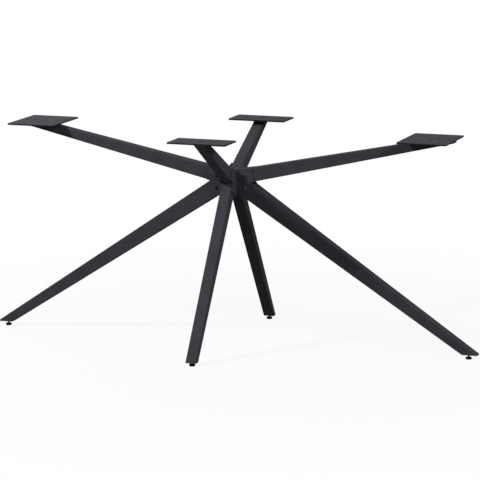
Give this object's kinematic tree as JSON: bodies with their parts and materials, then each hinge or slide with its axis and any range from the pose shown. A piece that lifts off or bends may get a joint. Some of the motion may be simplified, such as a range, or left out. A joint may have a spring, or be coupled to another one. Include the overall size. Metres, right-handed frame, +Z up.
{
  "type": "table base",
  "caption": "Star-shaped steel table base: tapered arms rise from a bolted hub to flat top plates, tapered legs run down to screw feet.",
  "frame": {"origin": "on the floor under the middle of the hub", "axes": "+Z up, +X along the long pair towards the right limb, +Y along the short pair towards the back"},
  "size_m": [1.703, 0.818, 0.72],
  "materials": {
    "coated_steel": "matt powder coat, fine texture",
    "black_fasteners": "black oxide, satin",
    "plain_steel": "zinc plated",
    "stud_steel": "dark, rolled thread",
    "pad_plastic": "moulded, matt"
  },
  "bodies": {
    "frame": {"hub_post": "coated_steel", "hub_top_cap": "coated_steel", "hub_bottom_cap": "coated_steel", "right_cheek_front": "coated_steel", "right_cheek_back": "coated_steel", "right_arm": "coated_steel", "right_leg": "coated_steel", "right_top_plate": "coated_steel", "right_arm_head": "coated_steel", "right_leg_end_plate": "coated_steel", "right_foot_nut": "plain_steel", "back_cheek_right": "coated_steel", "back_cheek_left": "coated_steel", "back_arm": "coated_steel", "back_leg": "coated_steel", "back_top_plate": "coated_steel", "back_arm_head": "coated_steel", "back_leg_end_plate": "coated_steel", "back_foot_nut": "plain_steel", "left_cheek_back": "coated_steel", "left_cheek_front": "coated_steel", "left_arm": "coated_steel", "left_leg": "coated_steel", "left_top_plate": "coated_steel", "left_arm_head": "coated_steel", "left_leg_end_plate": "coated_steel", "left_foot_nut": "plain_steel", "front_cheek_left": "coated_steel", "front_cheek_right": "coated_steel", "front_arm": "coated_steel", "front_leg": "coated_steel", "front_top_plate": "coated_steel", "front_arm_head": "coated_steel", "front_leg_end_plate": "coated_steel", "front_foot_nut": "plain_steel", "hub_bolts": "black_fasteners", "limb_nuts": "plain_steel", "plate_screws": "black_fasteners"},
    "right_foot": {"right_foot_stud": "stud_steel", "right_foot_pad": "pad_plastic"},
    "back_foot": {"back_foot_stud": "stud_steel", "back_foot_pad": "pad_plastic"},
    "left_foot": {"left_foot_stud": "stud_steel", "left_foot_pad": "pad_plastic"},
    "front_foot": {"front_foot_stud": "stud_steel", "front_foot_pad": "pad_plastic"}
  },
  "joints": [
    {"name": "right_foot_screw", "type": "slide", "parent": "frame", "child": "right_foot", "axis": [0, 0, -1], "range_m": [-0.003, 0.007]},
    {"name": "back_foot_screw", "type": "slide", "parent": "frame", "child": "back_foot", "axis": [0, 0, -1], "range_m": [-0.003, 0.007]},
    {"name": "left_foot_screw", "type": "slide", "parent": "frame", "child": "left_foot", "axis": [0, 0, -1], "range_m": [-0.003, 0.007]},
    {"name": "front_foot_screw", "type": "slide", "parent": "frame", "child": "front_foot", "axis": [0, 0, -1], "range_m": [-0.003, 0.007]}
  ]
}
